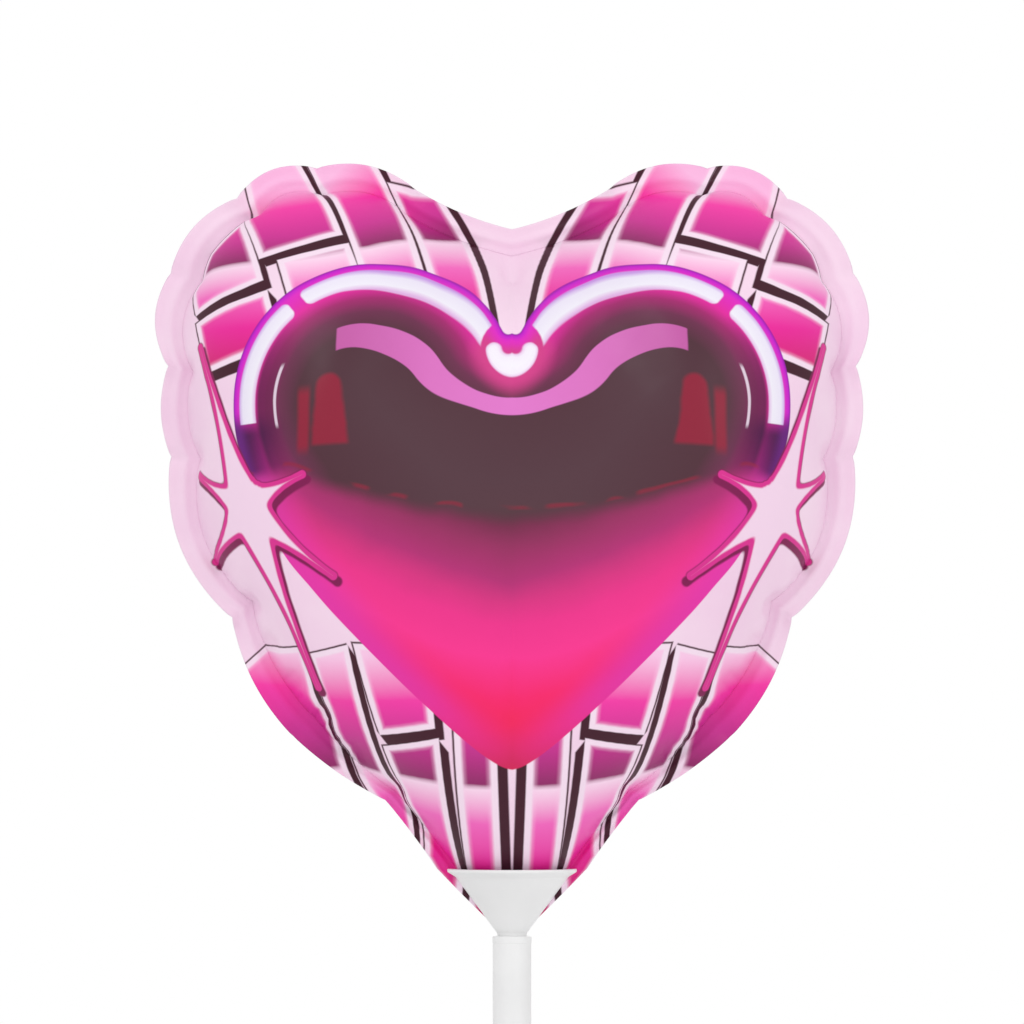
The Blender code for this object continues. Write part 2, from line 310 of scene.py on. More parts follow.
def film_links(flat, from_seam, shrink):
    """Every pair of film points that keep their distance: edges, and longer ties that
    resist bending. Each entry holds two slices that share no point, rest lengths, how firmly
    they pull, and how firmly they push when shortened (film crumples instead)."""
    flat3 = mirrored(np.dstack([flat[..., 0], np.zeros(flat.shape[:2]), flat[..., 1]]))
    pad = (slice(None), [*range(MARGIN, 0, -1), *range(flat.shape[1]),
                         *range(flat.shape[1] - 2, flat.shape[1] - 2 - MARGIN, -1)])
    shrink, from_seam = shrink[pad], from_seam[pad]
    rings, columns = shrink.shape
    tangent = np.gradient(flat3, axis=1)
    tangent /= np.maximum(np.linalg.norm(tangent, axis=-1), 1e-9)[..., None]
    edge = np.exp(-from_seam / CRUMPLE_REACH)
    inside = 1 - np.exp(-((from_seam / BEND_REACH) ** 2))
    links = []

    def tie(a, b, pull, push=None):
        across = flat3[b] - flat3[a]
        along = (across * tangent[a]).sum(-1)
        rest_square = (across**2).sum(-1) - along**2
        rest_square += (along * 0.5 * (shrink[a] + shrink[b])) ** 2
        pull = pull[a] if isinstance(pull, np.ndarray) else pull
        push = 1.0 if push is None else push[a]
        links.append((a, b, np.sqrt(np.maximum(rest_square, 0)), 0.5 * pull, push))

    def every(step, first, last):
        """Where ties of this length start and end, from this one of their sets."""
        return slice(first, last - step, 2 * step), slice(first + step, last, 2 * step)

    all_rings, all_columns = slice(0, rings), slice(0, columns)
    middle = slice(1, rings - 1)
    for first in range(2):
        low, high = every(1, first, rings)
        left, right = every(1, first, columns)
        tie((middle, left), (middle, right), 1.0, 0.5 * edge)
        tie((low, all_columns), (high, all_columns), 1.0, 0.3 + 0.3 * edge)
        tie((low, slice(0, columns - 1)), (high, slice(1, columns)), 0.5, 0.05 + 0.3 * edge)
        tie((low, slice(1, columns)), (high, slice(0, columns - 1)), 0.5, 0.05 + 0.3 * edge)
    for first in range(4):
        low, high = every(2, first, rings)
        left, right = every(2, first, columns)
        tie((low, all_columns), (high, all_columns), 0.02 + 0.2 * inside)
        tie((middle, left), (middle, right), 0.02 + 0.2 * inside)
    for first in range(8):
        left, right = every(4, first, columns)
        tie((middle, left), (middle, right), 0.05 + 0.2 * inside)
    return links


def smooth_pole(film, flat):
    """The film's middle, whose cells are tiny, made smooth by polynomial fits. The depth is one
    dome carried in from further out, as a tight balloon has no hollow in its middle."""
    x, z = flat[..., 0], flat[..., 1] - POLE
    from_pole = np.hypot(x, z)
    x, z = x / 30, z / 30
    for axis, fit in enumerate((PLANE_FIT, DEPTH_FIT, PLANE_FIT)):
        order, inner, outer, start, end = fit
        terms = np.stack([x ** (2 * a) * z**b for a in range(order // 2 + 1)
                          for b in range(order + 1 - 2 * a)], -1)
        if axis == 0:
            terms *= x[..., None]
        near = (from_pole > inner) & (from_pole < outer)
        weights = np.linalg.lstsq(terms[near], film[near, axis], rcond=None)[0]
        kept = np.clip((from_pole - start) / (end - start), 0, 1)
        kept = kept**2 * (3 - 2 * kept)
        film[..., axis] += (1 - kept) * (terms @ weights - film[..., axis])


def even_out(film, from_seam):
    """Ripples far from the seam evened out along each ring, as tight film has none there."""
    share = 0.5 * np.clip((from_seam[1:, :, None] - 5) / 10, 0, 1)
    for _ in range(EVENING_STEPS):
        whole = mirrored(film)[1:]
        mean = 0.5 * (whole[:, MARGIN - 1:-MARGIN - 1] + whole[:, MARGIN + 1:1 - MARGIN])
        film[1:] += share * (mean - film[1:])


def inflate(seam, flat_seam, t):
    """Gas pressure against film that hardly stretches, over a seam that stays in its plane."""
    flat, film, from_seam = film_grid(seam, flat_seam, t)
    gathered = np.gradient(distance_along(seam)) / np.gradient(distance_along(flat_seam))
    shrink = 1 - (1 - gathered * 1.05) * np.exp(-((from_seam / GATHER_REACH) ** 1.3))
    links = film_links(flat, from_seam, shrink)
    film = mirrored(film)
    film[-1, :, 1] = 0
    seam_now = film[-1].copy()
    speed = np.zeros_like(film)
    ring_step, column_step = np.zeros_like(film), np.zeros_like(film)
    for _ in range(INFLATION_STEPS):
        ring_step[1:-1] = (film[2:] - film[:-2]) / 2
        column_step[:, 1:-1] = (film[:, 2:] - film[:, :-2]) / 2
        speed = speed * (1 - DAMPING) + PRESSURE * np.cross(ring_step, column_step)
        before = film
        film = film + speed
        for a, b, rest, pull, push in links:
            across = film[b] - film[a]
            length = np.sqrt((across**2).sum(-1))
            gap = length - rest
            gap = np.where(gap < 0, gap * push, gap)
            move = (pull * gap / np.maximum(length, 1e-9))[..., None] * across
            film[a] += move
            film[b] -= move
        half = film[:, MARGIN:-MARGIN]
        half[:, [0, -1], 0] = 0
        half[..., :2] = np.maximum(half[..., :2], 0)
        half[0] = half[0].mean(0) * (0, 1, 1)
        film = mirrored(half)
        film[-1] = seam_now
        speed = film - before
    half = film[:, MARGIN:-MARGIN].copy()
    even_out(half, from_seam)
    smooth_pole(half, flat)
    return half, flat


# ---------------------------------------------------------------- meshes


def colour(code):
    """A linear colour from six sRGB hex digits."""
    parts = [int(code[k:k + 2], 16) / 255 for k in (0, 2, 4)]
    return (*(((c + 0.055) / 1.055) ** 2.4 if c > 0.04 else c / 12.92 for c in parts), 1)


def both_sides(half):
    """The columns of a half grid and then those of its mirror image, which close the ring."""
    flip = np.ones(half.shape[-1])
    flip[0] = -1
    return np.concatenate([half, half[..., -2:0:-1, :] * flip], axis=-2)


def mesh_object(name, points, faces, flat=None):
    """A smooth mesh piece. flat gives each point's place in the flat film."""
    mesh = bpy.data.meshes.new(name)
    mesh.from_pydata([tuple(p) for p in points], [], faces)
    mesh.shade_smooth()
    if flat is not None:
        layer = mesh.uv_layers.new(name="film")
        corners = np.empty(len(mesh.loops), int)
        mesh.loops.foreach_get("vertex_index", corners)
        layer.data.foreach_set("uv", (flat[corners] / FILM_SCALE).astype(np.float32).ravel())
    piece = bpy.data.objects.new(name, mesh)
    bpy.context.scene.collection.objects.link(piece)
    return piece


def grid_faces(rows, columns, closed):
    """Quads between the rows of a grid, whose columns may close into a ring."""
    faces = []
    for r in range(rows - 1):
        for c in range(columns if closed else columns - 1):
            n = (c + 1) % columns
            faces.append((r * columns + c, r * columns + n, (r + 1) * columns + n,
                          (r + 1) * columns + c))
    return faces


def thicken(piece, thickness, offset):
    solid = piece.modifiers.new("Film", "SOLIDIFY")
    solid.thickness = thickness
    solid.offset = offset
    return piece


def in_place(points):
    """Film points in mm, their depth towards the front, as places in the frame."""
    return np.stack([points[..., 0], -points[..., 1], points[..., 2]], -1) * MM + (0, 0, POINT_Z)


def panel(name, half, flat, side):
    """One inflated film panel, side 1 for the front and -1 for the back."""
    rings = both_sides(half * (1, side, 1))
    cut = both_sides(flat)
    columns = rings.shape[1]
    points = np.vstack([in_place(rings[1:]).reshape(-1, 3), in_place(rings[0, :1])])
    cut = np.vstack([cut[1:].reshape(-1, 2), cut[0, :1]])
    faces = grid_faces(RINGS, columns, closed=True)
    pole = len(points) - 1
    faces += [(pole, (c + 1) % columns, c) for c in range(columns)]
    if side > 0:
        faces = [face[::-1] for face in faces]
    return thicken(mesh_object(name, points, faces, cut), FILM, -1)


def flange(seam, edge, flat_seam, t):
    """The welded flat edge outside the seam, pleated where the seam is drawn in."""
    along = distance_along(seam)
    notches = along[t == 0][1:-1]
    across = np.linspace(-0.12, 1, 17)[:, None]
    normal = np.gradient(flat_seam, axis=0)
    normal = np.column_stack([-normal[:, 1], normal[:, 0]])
    normal /= np.linalg.norm(normal, axis=1)[:, None]
    place = seam + across[..., None] * (edge - seam)
    cut = flat_seam + across[..., None] * normal * FLANGE_WIDTH
    pleat = sum((-1) ** k * np.exp(-(((along - notch) / PLEAT_REACH) ** 2))
                for k, notch in enumerate(notches))
    wave = 0.16 * np.sin(along / 3.1) + 0.1 * np.sin(along / 1.7 + 2)
    weld = WELD_RISE * np.exp(-(((across - 0.45) / 0.16) ** 2))
    out_of_plane = (PLEAT_DEPTH * pleat + wave) * np.clip(across, 0, 1) ** 1.3 + weld
    half = np.dstack([place[..., 0], out_of_plane, place[..., 1]])
    whole = np.concatenate([half[:, :0:-1] * (-1, 1, 1), half], axis=1)
    cut = np.concatenate([cut[:, :0:-1] * (-1, 1), cut], axis=1)
    faces = grid_faces(whole.shape[0], whole.shape[1], closed=False)
    piece = mesh_object("flange_film", in_place(whole).reshape(-1, 3), faces, cut.reshape(-1, 2))
    return thicken(piece, 2 * FILM, 0)


def tail():
    """The film's neck, gathered into pleats where it passes down through the cup."""
    columns = 96
    points, cut = [], []
    for z, wide, deep, pleats in TAIL_RINGS:
        for c in range(columns):
            turn = 2 * math.pi * c / columns
            fold = 1 + pleats * math.cos(9 * turn + 0.6 * math.sin(2 * turn))
            points.append((wide * fold * math.cos(turn), deep * fold * math.sin(turn), z))
            cut.append((4 * math.cos(turn), z - TAIL_RINGS[0][0] - 8))
    points = np.array(points) * MM + (0, 0, POINT_Z)
    faces = [face[::-1] for face in grid_faces(len(TAIL_RINGS), columns, closed=True)]
    piece = mesh_object("tail_film", points, faces, np.array(cut))
    return thicken(piece, FILM, -1)


def turned(name, profile, segments):
    """A closed ring turned round the Z axis from its profile of radius and height."""
    points = [(r * math.cos(a), r * math.sin(a), z) for r, z in profile
              for a in (2 * math.pi * k / segments for k in range(segments))]
    faces = grid_faces(len(profile), segments, closed=True)
    last = (len(profile) - 1) * segments
    for k in range(segments):
        n = (k + 1) % segments
        faces.append((last + k, last + n, n, k))
    piece = mesh_object(name, points, faces)
    piece.data.set_sharp_from_angle(angle=math.radians(40))
    return piece


def rounded(profile, radius, steps=4):
    """The profile with each corner cut to an arc, as a closed outline."""
    out = []
    count = len(profile)
    for k, corner in enumerate(profile):
        before = Vector(profile[k - 1]) - Vector(corner)
        after = Vector(profile[(k + 1) % count]) - Vector(corner)
        cut = min(radius, 0.45 * before.length, 0.45 * after.length)
        start = Vector(corner) + before.normalized() * cut
        end = Vector(corner) + after.normalized() * cut
        for step in range(steps + 1):
            f = step / steps
            out.append(tuple(start * (1 - f) ** 2 + Vector(corner) * 2 * f * (1 - f) + end * f**2))
    return out


def stick():
    """A plastic tube with softened ends and a slightly raised band round its top."""
    profile = [
        (STICK_RADIUS, 0.0),
        (STICK_RADIUS, STICK_TOP - STICK_BAND),
        (STICK_RADIUS + STICK_BAND_RISE, STICK_TOP - STICK_BAND + 0.1 * MM),
        (STICK_RADIUS + STICK_BAND_RISE, STICK_TOP),
        (STICK_BORE, STICK_TOP),
        (STICK_BORE, 0.0),
    ]
    return turned("stick_tube", rounded(profile, 0.25 * MM), 128)


def cup():
    """A thin conical cup with a flat lip, on a hollow spigot that plugs into the stick."""
    neck = STICK_TOP + SEAT_GAP
    profile = [
        (LIP_RADIUS, CUP_TOP),
        (LIP_RADIUS - 1.6 * MM, CUP_TOP - 0.05 * MM),
        (LIP_RADIUS - 2.2 * MM, CUP_TOP - 0.6 * MM),
        (SPIGOT_BORE, neck + 0.6 * MM),
        (SPIGOT_BORE, CUP_LOW[2]),
        (SPIGOT_RADIUS - 0.35 * MM, CUP_LOW[2]),
        (SPIGOT_RADIUS, CUP_LOW[2] + 1.0 * MM),
        (SPIGOT_RADIUS, neck - 0.1 * MM),
        (CONE_FOOT, neck + 0.25 * MM),
        (CONE_HEAD, CUP_TOP - LIP_THICKNESS),
        (LIP_RADIUS, CUP_TOP - 0.55 * MM),
    ]
    piece = turned("balloon_cup", rounded(profile, 0.22 * MM)[::-1], 144)
    cutter = bpy.data.objects.new("slot_cutter", bpy.data.meshes.new("slot_cutter"))
    shape = bmesh.new()
    bmesh.ops.create_cube(shape, size=1)
    size = Vector((4 * LIP_RADIUS, SLOT_WIDTH, 2 * SLOT_DEPTH))
    bmesh.ops.scale(shape, vec=size, verts=shape.verts)
    bmesh.ops.translate(shape, vec=(0, 0, CUP_TOP), verts=shape.verts)
    shape.to_mesh(cutter.data)
    shape.free()
    bpy.context.scene.collection.objects.link(cutter)
    slots = piece.modifiers.new("Slots", "BOOLEAN")
    slots.object = cutter
    slots.solver = "EXACT"
    bpy.context.view_layer.update()
    evaluated = piece.evaluated_get(bpy.context.evaluated_depsgraph_get())
    cut = bpy.data.meshes.new_from_object(evaluated)
    piece.modifiers.clear()
    piece.data = cut
    cut.set_sharp_from_angle(angle=math.radians(40))
    bpy.data.objects.remove(cutter)
    return piece


# ---------------------------------------------------------------- shader arithmetic


class Field:
    """A number that varies over a surface: a node's output, with arithmetic that adds nodes."""

    def __init__(self, tree, socket):
        self.tree = tree
        self.socket = socket

    def math(self, operation, *others):
        node = self.tree.nodes.new("ShaderNodeMath")
        node.operation = operation
        for entry, value in zip(node.inputs, (self, *others)):
            feed(self.tree, entry, value)
        return Field(self.tree, node.outputs[0])

    def __add__(self, other):
        return self.math("ADD", other)

    def __sub__(self, other):
        return self.math("SUBTRACT", other)

    def __mul__(self, other):
        return self.math("MULTIPLY", other)

    def __neg__(self):
        return self * -1.0

    def __abs__(self):
        return self.math("ABSOLUTE")

    def least(self, other):
        return self.math("MINIMUM", other)

    def most(self, other):
        return self.math("MAXIMUM", other)

    def rise(self, low, high):
        """0 below low, 1 above high, and smooth between. Falls if low is above high."""
        node = self.tree.nodes.new("ShaderNodeMapRange")
        node.interpolation_type = "SMOOTHSTEP"
        feed(self.tree, node.inputs["Value"], self)
        swapped = low > high
        node.inputs["From Min"].default_value = min(low, high)
        node.inputs["From Max"].default_value = max(low, high)
        node.inputs["To Min"].default_value = float(swapped)
        node.inputs["To Max"].default_value = float(not swapped)
        return Field(self.tree, node.outputs["Result"])

    def below(self, limit, soft=0.14):
        return self.rise(limit + soft, limit - soft)

    def above(self, limit, soft=0.14):
        return self.rise(limit - soft, limit + soft)

    def ramp(self, stops):
        """Colours along the field, from (value, hex) pairs."""
        low, high = stops[0][0], stops[-1][0]
        node = self.tree.nodes.new("ShaderNodeValToRGB")
        share = (self - low) * (1 / (high - low))
        self.tree.links.new(share.socket, node.inputs["Fac"])
        elements = node.color_ramp.elements
        while len(elements) < len(stops):
            elements.new(0.5)
        for element, (value, code) in zip(elements, stops):
            element.position = (value - low) / (high - low)
            element.color = colour(code)
        return Field(self.tree, node.outputs["Color"])


def feed(tree, entry, value):
    """Gives a node's input a field, a colour's hex digits or a number."""
    if isinstance(value, Field):
        tree.links.new(value.socket, entry)
    elif isinstance(value, str):
        entry.default_value = colour(value)
    else:
        entry.default_value = value


def over(tree, under, paint, mask):
    """One colour laid over another through a mask."""
    node = tree.nodes.new("ShaderNodeMix")
    node.data_type = "RGBA"
    for entry, value in zip((node.inputs[0], node.inputs[6], node.inputs[7]), (mask, under, paint)):
        feed(tree, entry, value)
    return Field(tree, node.outputs[2])


def new_material(name):
    """A new material, its node tree and its shader."""
    material = bpy.data.materials.new(name)
    material.use_nodes = True
    return material, material.node_tree, material.node_tree.nodes["Principled BSDF"]


def add_bump(tree, shader, height, strength, distance):
    bump = tree.nodes.new("ShaderNodeBump")
    bump.inputs["Strength"].default_value = strength
    bump.inputs["Distance"].default_value = distance
    tree.links.new(height.socket, bump.inputs["Height"])
    tree.links.new(bump.outputs["Normal"], shader.inputs["Normal"])


def noise_field(tree, vector, scale, detail=2.0, roughness=0.5):
    node = tree.nodes.new("ShaderNodeTexNoise")
    node.inputs["Scale"].default_value = scale
    node.inputs["Detail"].default_value = detail
    node.inputs["Roughness"].default_value = roughness
    tree.links.new(vector, node.inputs["Vector"])
    return Field(tree, node.outputs["Fac"])


# ---------------------------------------------------------------- the print


def swept(corners, shift):
    """The convex outline, anticlockwise, of a convex shape and its copy moved by a shift."""
    points = sorted([*corners, *((x + shift[0], z + shift[1]) for x, z in corners)])
    outline = []
    for row in (points, points[::-1]):
        chain = []
        for x, z in row:
            while len(chain) > 1:
                (x0, z0), (x1, z1) = chain[-2:]
                if (x1 - x0) * (z - z0) - (z1 - z0) * (x - x0) > 1e-6:
                    break
                chain.pop()
            chain.append((x, z))
        outline += chain[:-1]
    return outline


class Print:
    """The printed picture, in mm on the flat film: x from the middle line, the same on both
    sides of it, and height above the point."""

    def __init__(self, tree):
        self.tree = tree
        place = tree.nodes.new("ShaderNodeUVMap")
        place.uv_map = "film"
        self.uv = place.outputs["UV"]
        split = tree.nodes.new("ShaderNodeSeparateXYZ")
        tree.links.new(self.uv, split.inputs[0])
        self.x = abs(Field(tree, split.outputs["X"])) * FILM_SCALE
        self.z = Field(tree, split.outputs["Y"]) * FILM_SCALE
        self.here = self.point(self.x, self.z)

    def point(self, x, z):
        """x, z and 1 as a vector, so that one dot product is a distance from a line."""
        node = self.tree.nodes.new("ShaderNodeCombineXYZ")
        feed(self.tree, node.inputs[0], x)
        feed(self.tree, node.inputs[1], z)
        node.inputs[2].default_value = 1
        return node.outputs[0]

    def line(self, along, start):
        """How far a place lies along a direction from a start."""
        node = self.tree.nodes.new("ShaderNodeVectorMath")
        node.operation = "DOT_PRODUCT"
        self.tree.links.new(self.here, node.inputs[0])
        back = -(along[0] * start[0] + along[1] * start[1])
        node.inputs[1].default_value = (along[0], along[1], back)
        return Field(self.tree, node.outputs["Value"])

    def from_point(self, point):
        node = self.tree.nodes.new("ShaderNodeVectorMath")
        node.operation = "DISTANCE"
        self.tree.links.new(self.here, node.inputs[0])
        node.inputs[1].default_value = (*point, 1)
        return Field(self.tree, node.outputs["Value"])

    def polygon(self, corners):
        """Distance outside a convex outline whose corners go anticlockwise."""
        distance = None
        for (x0, z0), (x1, z1) in zip(corners, corners[1:] + corners[:1]):
            length = math.hypot(x1 - x0, z1 - z0)
            side = self.line(((z1 - z0) / length, (x0 - x1) / length), (x0, z0))
            distance = side if distance is None else distance.most(side)
        return distance

    def blocks(self, outlines):
        """Distance outside all of several convex outlines."""
        distance = None
        for corners in outlines:
            one = self.polygon(corners)
            distance = one if distance is None else distance.least(one)
        return distance

    def within(self, sides, rounding):
        """Distance outside the area where every side is negative, with rounded corners."""
        squares = None
        for side in sides:
            past = (side + rounding).most(0)
            squares = past * past if squares is None else squares + past * past
        return squares.math("SQRT") - rounding

    def dip_middle(self):
        """The middle of the arc that rounds the dip where the heart's lobes meet."""
        x, z = HEART_LOBE
        return Vector((0.0, z + math.sqrt((HEART_RADIUS + DIP_RADIUS)**2 - x**2)))

    def heart(self):
        """Distance outside a heart: two round lobes, a rounded dip between them, and sides
        that are fullest halfway down to the tip."""
        centre = Vector(HEART_LOBE)
        to_lobe = centre - Vector(HEART_TIP)
        reach = math.sqrt(to_lobe.length_squared - HEART_RADIUS**2)
        lean = math.atan2(to_lobe.x, to_lobe.y) + math.asin(HEART_RADIUS / to_lobe.length)
        touch = Vector(HEART_TIP) + reach * Vector((math.sin(lean), math.cos(lean)))
        lobe = self.from_point(centre) - HEART_RADIUS
        side = self.line((math.cos(lean), -math.sin(lean)), HEART_TIP)
        lower = side.most(-self.from_point(self.dip_middle()) + DIP_RADIUS)
        to_dip, to_touch = self.dip_middle() - centre, touch - centre
        past_dip = self.line((to_dip.y, -to_dip.x), centre)
        past_touch = self.line((-to_touch.y, to_touch.x), centre)
        by_lobe = past_dip.most(past_touch).math("GREATER_THAN", 0)
        fuller = self.z.rise(22, 58) * self.z.rise(86, 62) * HEART_FULLNESS
        return lower + (lobe - lower) * by_lobe - fuller

    def star(self, shift=(0, 0)):
        """Distance outside a sparkle: spikes that narrow from its middle, round a curve."""
        middle = (STAR_MIDDLE[0] + shift[0], STAR_MIDDLE[1] + shift[1])
        distance = None
        for x, z, width in STAR_TIPS:
            length = math.hypot(x, z)
            out = (x / length, z / length)
            share = (self.line(out, middle) * (1 / length)).most(0).least(1)
            narrow = (share * -1 + 1).math("POWER", 2.6) * width
            across = abs(self.line((out[1], -out[0]), middle))
            beyond = (self.line(out, middle) - length).most(0)
            spike = across.math("POWER", 2) + beyond * beyond
            spike = spike.math("SQRT") - narrow
            behind = (self.line(out, middle) * -1).most(0)
            spike = spike + behind
            distance = spike if distance is None else distance.math("SMOOTH_MIN", spike, 1.6)
        return distance

    def block_rows(self, picture):
        """Rows of slanted blocks, filled like polished metal, with pale and dark edges."""
        tree = self.tree
        wave = self.z - (self.x * 0.11 + 0.5).math("SINE") * 1.6
        distance = self.blocks(BLOCKS)
        drop = self.blocks([swept(corners, BLOCK_DROP) for corners in BLOCKS])
        picture = over(tree, picture, "421A29", drop.below(1.4, 0.18))
        picture = over(tree, picture, "F5DDEE", distance.below(1.05, 0.16))
        picture = over(tree, picture, wave.ramp(BLOCK_FILL), distance.below(-0.1, 0.3))
        shine = distance.rise(-1.0, -0.1) * distance.below(0.0)
        return over(tree, picture, "F9CDE8", shine * 0.35)

    def glint_middle(self):
        """The middle of the glint's curve."""
        return self.dip_middle() - Vector((0, DIP_RADIUS + GLINT_DROP))

    def glint(self):
        """Distance from the middle line of the short curved glint under the dip."""
        middle = self.glint_middle()
        end = middle + Vector((math.sin(GLINT_TURN), -math.cos(GLINT_TURN))) * GLINT_RADIUS
        ring = abs(self.from_point(middle) - GLINT_RADIUS)
        past_end = self.line((math.cos(GLINT_TURN), math.sin(GLINT_TURN)), end).above(0.0, 0.02)
        return ring + (self.from_point(end) - ring) * past_end

    def rim(self, depth, glint):
        """The heart's bright rim, glowing round the glint and dark purple low on the sides."""
        tree, x, z = self.tree, self.x, self.z
        inside = depth.ramp(HEART_INSIDE)
        inside = over(tree, inside, "D04088", glint.below(4.4, 2.0) * depth.rise(1.0, 4.0))
        dim = x.rise(36, 46) * depth.rise(4.4, 5.6) * depth.rise(10, 8)
        inside = over(tree, inside, "4E1A3E", dim * 0.9)
        purple = x.rise(34, 48) * depth.below(9, 4) * z.below(89.3, 2.5)
        inside = over(tree, inside, "36103F", purple * 0.95)
        return over(tree, inside, "6C2080", purple * depth.below(1.8, 1.2) * 0.8)

    def ribbon(self, inside, depth):
        """A ribbon of reflected light that follows the lobes."""
        x = self.x
        outer = x.rise(8, 19) * 1.1 - x.rise(21, 32) + 11.2
        inner = x.rise(6, 21) * 3.6 - x.rise(21, 33) * 3.1 + 14.1
        ribbon = (depth - outer).least(inner - depth).above(0) * x.below(RIBBON_END, 0.2)
        return over(self.tree, inside, x.ramp(RIBBON), ribbon * self.z.above(84))

    def patches(self, inside):
        """A red reflection with a round top, and a thin one beside it."""
        x, z = self.x, self.z
        shade = noise_field(self.tree, self.uv, 22, 2.0)
        drop = -z + PATCH_TOP
        across = abs(x + drop * 0.05 + (shade - 0.5) - PATCH_X) - drop * 0.118 - 1.85
        patch = self.within((across, -drop), 1.8).below(0, 0.5)
        patch = patch * drop.below(PATCH_HEIGHT, 0.5)
        thin = abs(x - 36.1).below(1.0, 0.5) * abs(z - 88.9).below(5.4, 1.2)
        return over(self.tree, inside, "93223A", (patch + thin).least(1) * 0.9)

    def highlights(self, inside, depth, glint):
        """A thin arc, the white band over each lobe, in two lengths, and the glint."""
        tree, x, z = self.tree, self.x, self.z
        arc = abs(depth - ARC_DEPTH).below(0.26, 0.14) * x.above(35)
        arc = arc * abs(z - 93.5).below(5.4, 0.6)
        inside = over(tree, inside, "E4D2E2", arc * 0.9)
        wider = x.rise(4, 14) * x.rise(32, 20) * 0.5
        gap = abs(self.line(HIGHLIGHT_GAP_ACROSS, HEART_LOBE))
        across = abs(depth - HIGHLIGHT_DEPTH - wider) - HIGHLIGHT_THICKNESS - wider
        band = self.within((across, -gap + HIGHLIGHT_GAP), 1.1).below(0, 0.2)
        band = band * z.above(HIGHLIGHT_FOOT, 0.15)
        band = band * self.from_point(self.glint_middle()).above(5.7, 0.2)
        inside = over(tree, inside, (depth - wider).ramp(HIGHLIGHT), band)
        return over(tree, inside, glint.ramp(GLINT), glint.below(GLINT_THICKNESS, 0.22))

    def lower_glow(self, inside, depth):
        """The glow below the horizon, with red streaks along it."""
        tree, x, z = self.tree, self.x, self.z
        ripple = noise_field(tree, self.uv, 14, 1.0)
        turn_down = (x - 36).most(0).math("POWER", 2) * -0.05
        bend = x.math("POWER", 2) * HORIZON_BEND + turn_down
        below = bend + (ripple - 0.5) * 1.6 - z + HORIZON
        streak = abs(below + 0.6).below(0.35, 0.3) * (ripple - 0.45).rise(0, 0.1)
        inside = over(tree, inside, "93223A", streak * 0.6)
        lower = (below + x * 0.22).ramp(HEART_GLOW)
        side_glow = depth.below(4.5, 4.0) * z.rise(20, 45)
        lower = over(tree, lower, "DE36AE", side_glow * 0.75)
        return over(tree, inside, lower, below.rise(-1.2, 2.8))

    def glossy_heart(self, picture):
        """A polished heart: bright rim, a ribbon of reflected light, dark above a horizon and
        glowing below it."""
        depth = -self.heart()
        glint = self.glint() + self.x * GLINT_TAPER
        inside = self.ribbon(self.rim(depth, glint), depth)
        inside = self.highlights(self.patches(inside), depth, glint)
        inside = self.lower_glow(inside, depth)
        return over(self.tree, picture, inside, depth.above(0.0))

    def sparkles(self, picture):
        tree = self.tree
        distance = self.star()
        drop = distance.least(self.star(STAR_DROP))
        picture = over(tree, picture, "7E1750", drop.below(0.95, 0.25))
        picture = over(tree, picture, "D9318F", distance.below(0.8))
        return over(tree, picture, "F3D5EA", distance.below(-0.15, 0.25))

    def picture(self):
        """Pale ground with a faint mottle, and the blocks, heart and sparkles over it."""
        mottle = noise_field(self.tree, self.uv, 6, 3.0)
        ground = mottle.ramp([(0.3, "F1CFE6"), (0.7, "F5D9EB")])
        picture = self.block_rows(ground)
        picture = self.glossy_heart(picture)
        return self.sparkles(picture)


def film_material(name, creases):
    """Coated printed foil: a satin print under a thin gloss, with fine creases of a strength."""
    material, tree, shader = new_material(name)
    print_ = Print(tree)
    fine = noise_field(tree, print_.uv, 45, 4.0, 0.6)
    broad = noise_field(tree, print_.uv, 9, 2.0)
    tree.links.new(print_.picture().socket, shader.inputs["Base Color"])
    tree.links.new((fine * 0.14 + 0.3).socket, shader.inputs["Roughness"])
    shader.inputs["Metallic"].default_value = 0.0
    shader.inputs["Specular IOR Level"].default_value = 0.16
    shader.inputs["Coat Weight"].default_value = 0.04
    shader.inputs["Coat Roughness"].default_value = 0.3
    add_bump(tree, shader, broad + fine * 0.25, creases, 0.6 * MM)
    return material


def clear_film_material():
    """Thin clear plastic film, a little milky, with faint creases."""
    material, tree, shader = new_material("clear_film_look")
    place = tree.nodes.new("ShaderNodeTexCoord").outputs["Object"]
    creases = noise_field(tree, place, 600, 3.0)
    milky = creases.ramp([(0.2, "E6E9EA"), (0.8, "F6F8F8")])
    tree.links.new(milky.socket, shader.inputs["Base Color"])
    tree.links.new((creases * 0.1 + 0.12).socket, shader.inputs["Roughness"])
    shader.inputs["Alpha"].default_value = 0.45
    add_bump(tree, shader, creases, 0.3, 0.1 * MM)
    return material


def plastic_material(name, light, dark):
    """White moulded plastic with a satin skin, faint flow marks and small scuffs."""
    material, tree, shader = new_material(name)
    place = tree.nodes.new("ShaderNodeTexCoord").outputs["Object"]
    flow = noise_field(tree, place, 90, 3.0)
    skin = noise_field(tree, place, 2600, 2.0)
    scuffs = noise_field(tree, place, 700, 5.0, 0.7)
    tree.links.new(flow.ramp([(0.3, dark), (0.7, light)]).socket, shader.inputs["Base Color"])
    tree.links.new((scuffs * 0.22 + 0.34).socket, shader.inputs["Roughness"])
    shader.inputs["Specular IOR Level"].default_value = 0.45
    shader.inputs["Subsurface Weight"].default_value = 0.08
    shader.inputs["Subsurface Radius"].default_value = (0.002, 0.002, 0.002)
    add_bump(tree, shader, skin + scuffs * 0.5, 0.06, 0.05 * MM)
    return material


# ---------------------------------------------------------------- the object


